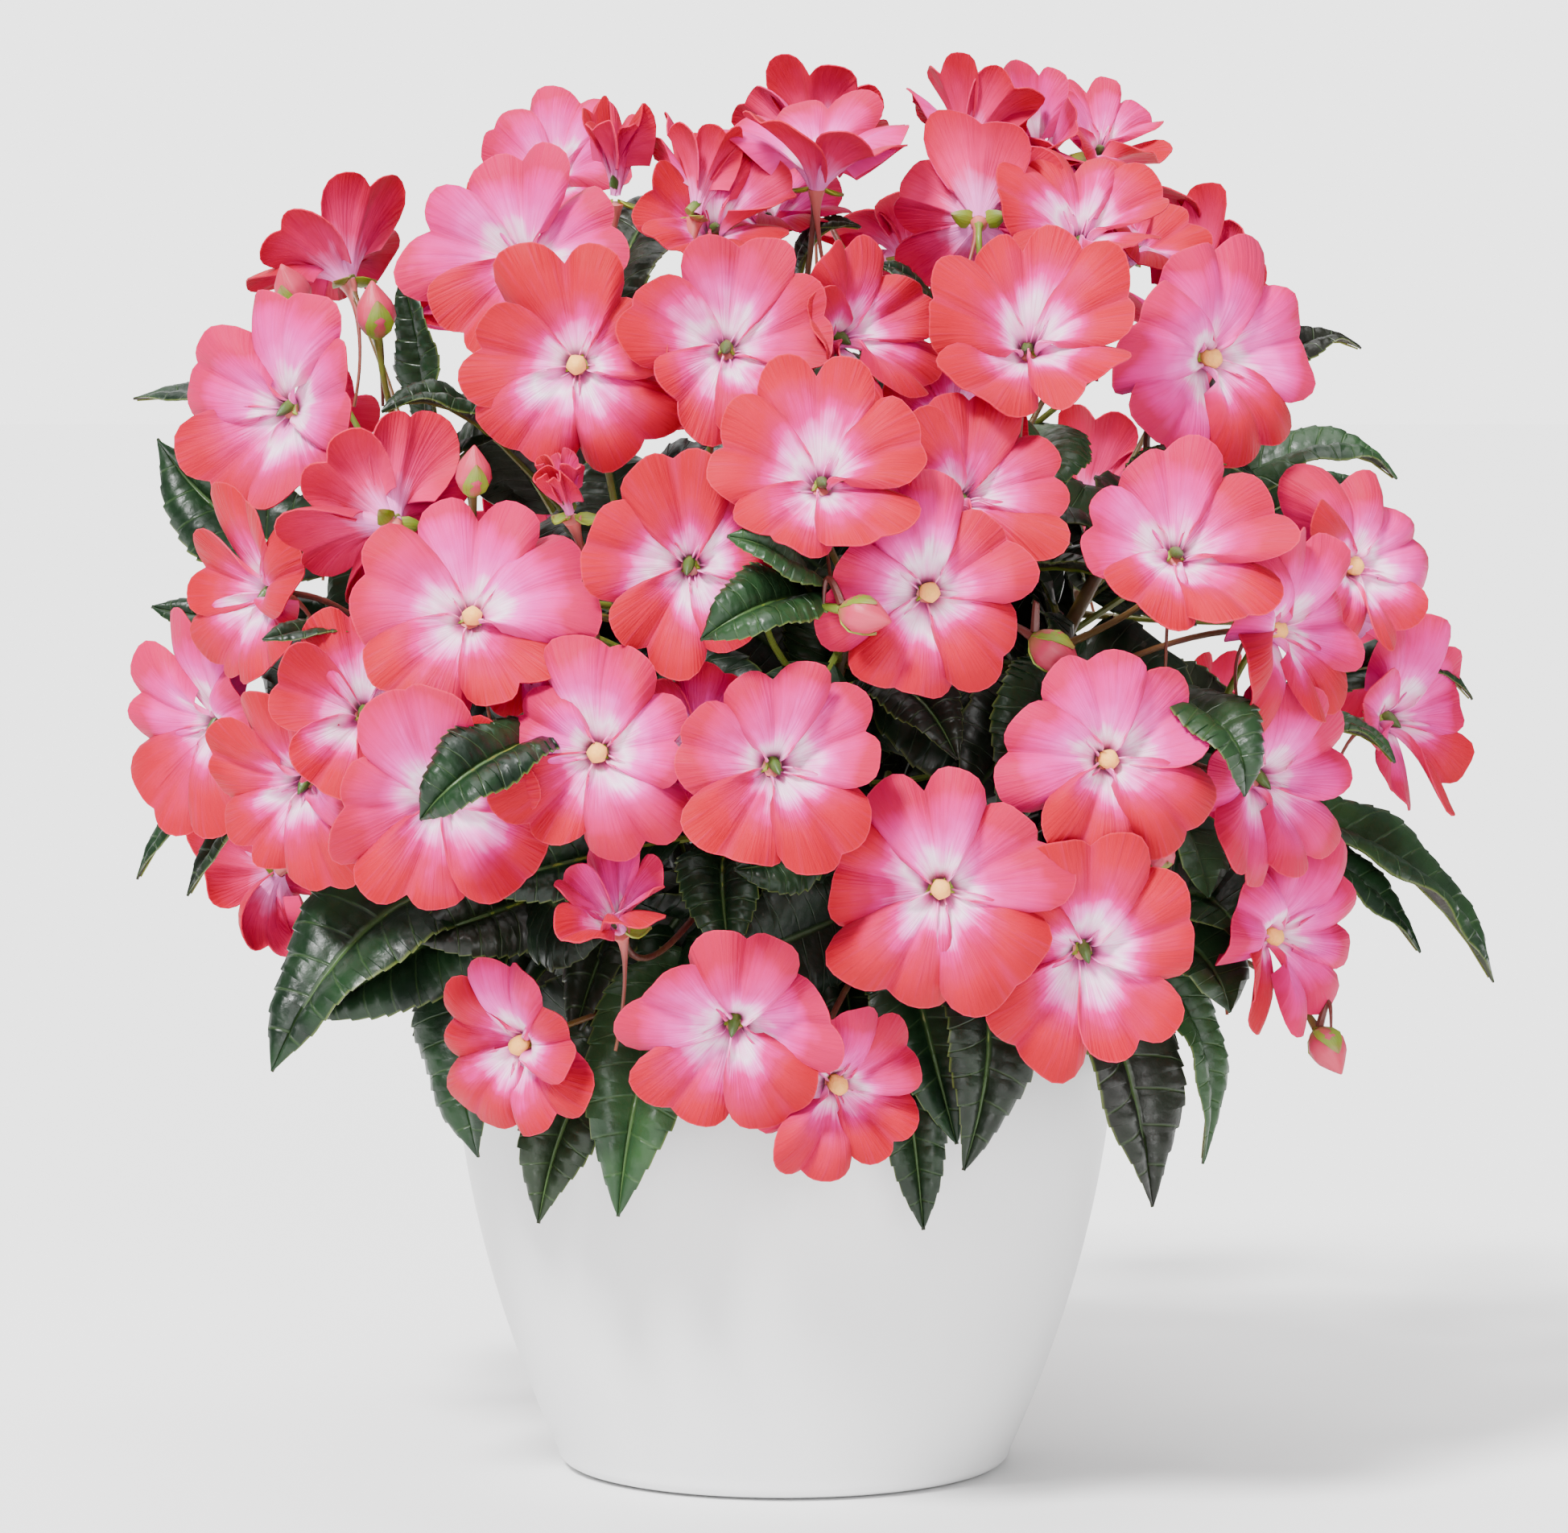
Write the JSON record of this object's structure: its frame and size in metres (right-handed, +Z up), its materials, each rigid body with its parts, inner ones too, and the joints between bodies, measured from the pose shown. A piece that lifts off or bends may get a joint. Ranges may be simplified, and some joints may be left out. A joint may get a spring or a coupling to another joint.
{
  "type": "potted new guinea impatiens",
  "caption": "Bushy flowering pot plant: a dome of notched pink and coral five-petalled blooms over toothed dark leaves, in a plain white tapered pot.",
  "frame": {"origin": "centre of the pot's flat underside", "axes": "+Z up along the pot's axis, -Y towards the side that the front view shows, +X to that view's right"},
  "size_m": [0.4048, 0.4039, 0.422],
  "materials": {
    "pot": "smooth, slightly glossy white",
    "potting_mix": "dark, crumbly and matt",
    "foliage": "glossy dark green, quilted between the veins",
    "petals": "soft satin, coral at the edges and pale pink at the throat"
  },
  "bodies": {
    "root": {"bloom_01": "petals", "bloom_02": "petals", "bloom_03": "petals", "bloom_04": "petals", "bloom_05": "petals", "bloom_11": "petals", "bloom_12": "petals", "bloom_18": "petals", "bloom_20": "petals", "bloom_22": "petals", "bloom_23": "petals", "bloom_24": "petals", "bloom_25": "petals", "bloom_26": "petals", "bloom_28": "petals", "bloom_29": "petals", "bloom_30": "petals", "bloom_33": "petals", "bloom_34": "petals", "bloom_36": "petals", "bloom_37": "petals", "bloom_39": "petals", "bloom_41": "petals", "bloom_42": "petals", "bloom_44": "petals", "bloom_46": "petals", "bloom_49": "petals", "bloom_50": "petals", "bloom_54": "petals", "bloom_55": "petals", "bloom_56": "petals", "bloom_57": "petals", "bloom_58": "petals", "bloom_59": "petals", "bloom_60": "petals", "bloom_61": "petals", "bloom_62": "petals", "bloom_63": "petals", "bloom_64": "petals", "bloom_65": "petals", "bloom_66": "petals", "bloom_67": "petals", "bloom_cluster_06": "petals", "bloom_cluster_07": "petals", "bloom_cluster_16": "petals", "bloom_cluster_19": "petals", "bloom_cluster_21": "petals", "bloom_cluster_27": "petals", "bloom_cluster_35": "petals", "bloom_cluster_47": "petals", "bloom_cluster_51": "petals", "leafy_stem_1": "foliage", "leafy_stem_2": "foliage", "leafy_stem_3": "foliage", "leafy_stem_4": "foliage", "leafy_stem_5": "foliage", "leafy_stem_6": "foliage", "leafy_stem_7": "foliage", "pot": "pot", "soil": "potting_mix"}
  },
  "joints": []
}
